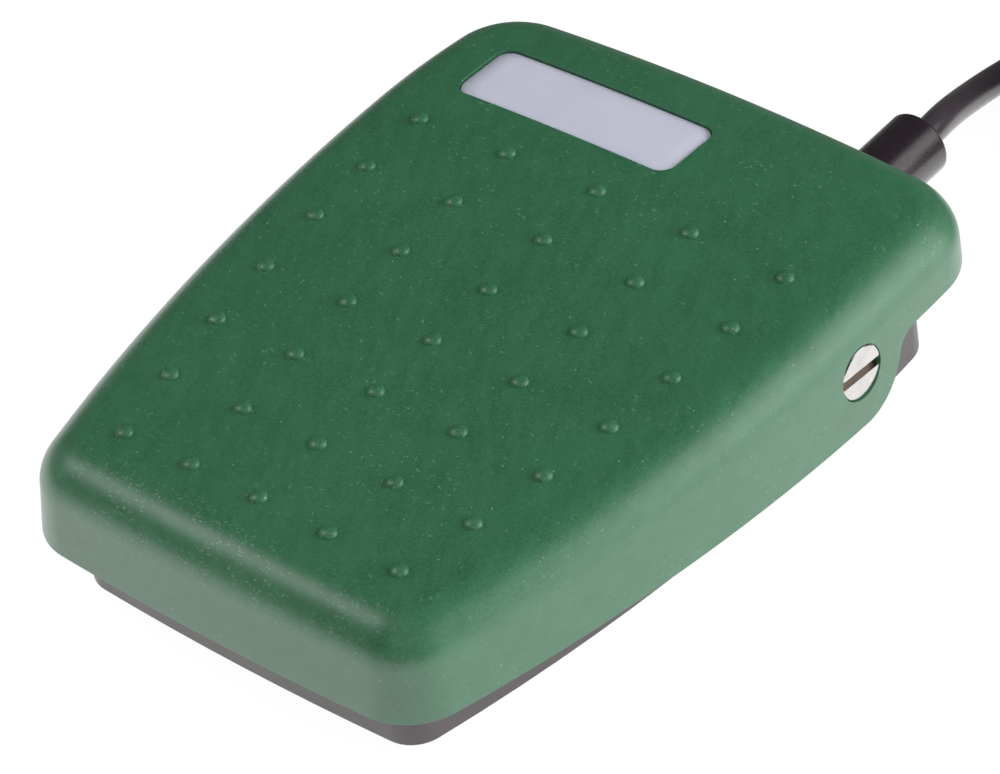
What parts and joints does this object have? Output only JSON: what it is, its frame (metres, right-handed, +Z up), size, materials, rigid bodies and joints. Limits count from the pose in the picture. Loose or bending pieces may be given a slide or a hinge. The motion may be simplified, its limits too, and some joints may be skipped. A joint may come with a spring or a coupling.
{
  "type": "foot switch",
  "caption": "Low foot switch: a green domed pedal with raised grips that rocks on a black base and works a snap switch inside it, with a bare plate, a cable boot and a coiled lead.",
  "frame": {"origin": "on the floor, under the middle of the pedal at rest, without the free cable", "axes": "+Z up, +Y to the rear, where the cable leaves, +X to the right of a user who stands in front"},
  "size_m": [0.1661, 0.2785, 0.0347],
  "materials": {
    "pedal_plastic": "finely textured moulded plastic, semi-matte",
    "base_plastic": "moulded plastic, semi-matte",
    "plate_metal": "bare satin plate",
    "screw_steel": "turned, slotted",
    "insert_brass": "knurled",
    "spring_steel": "wound wire",
    "foot_rubber": "matte",
    "switch_black": "moulded",
    "switch_cream": "moulded",
    "plunger_red": "moulded",
    "terminal_brass": "stamped",
    "boot_plastic": "soft moulded plastic",
    "cable_sheath": "smooth flexible sheath",
    "tie_plastic": "moulded strap",
    "core_brown_plastic": "insulation",
    "core_blue_plastic": "insulation",
    "core_black_plastic": "insulation"
  },
  "bodies": {
    "base": {"pivot_screw_left": "screw_steel", "pivot_screw_right": "screw_steel", "pivot_insert_left": "insert_brass", "pivot_insert_right": "insert_brass", "base_moulding": "base_plastic", "foot_front_left": "foot_rubber", "foot_front_right": "foot_rubber", "foot_rear_left": "foot_rubber", "foot_rear_right": "foot_rubber", "return_spring": "spring_steel", "stop_buffer_left": "foot_rubber", "stop_buffer_right": "foot_rubber", "switch_case": "switch_black", "switch_cover": "switch_cream", "lever_pin": "screw_steel", "terminal_common": "terminal_brass", "terminal_open": "terminal_brass", "terminal_closed": "terminal_brass", "switch_screws": "screw_steel", "wire_common": "core_brown_plastic", "wire_open": "core_blue_plastic", "wire_closed": "core_black_plastic", "cable_clamp": "base_plastic", "clamp_screws": "screw_steel", "cable_boot": "boot_plastic", "cable_entry": "cable_sheath", "cable_run": "cable_sheath", "cable_coil": "cable_sheath", "coil_tie": "tie_plastic", "core_brown": "core_brown_plastic", "core_blue": "core_blue_plastic", "core_black": "core_black_plastic"},
    "pedal": {"pedal_cover": "pedal_plastic", "label_plate": "plate_metal", "adjusting_screw": "screw_steel", "adjusting_nut": "screw_steel"},
    "lever": {"switch_lever": "spring_steel"},
    "plunger": {"switch_plunger": "plunger_red"}
  },
  "joints": [
    {"name": "pedal_pivot", "type": "hinge", "parent": "base", "child": "pedal", "pos_m": [0, 0.0319, 0.0193], "axis": [1, 0, 0], "range_deg": [0, 2.6], "stiffness_Nm_per_rad": 8.4, "springref_deg": -2.56, "deforming": ["return_spring"]},
    {"name": "lever_hinge", "type": "hinge", "parent": "base", "child": "lever", "pos_m": [0, 0.0159, 0.0247], "axis": [1, 0, 0], "range_deg": [0, 4.7]},
    {"name": "plunger_slide", "type": "slide", "parent": "base", "child": "plunger", "axis": [0, 0, -1], "range_m": [0, 0.0005]}
  ],
  "couplings": [
    {"joint": "lever_hinge", "follows": "pedal_pivot", "ratio": 1.8},
    {"joint": "plunger_slide", "follows": "pedal_pivot", "m_per_rad": 0.01078}
  ]
}
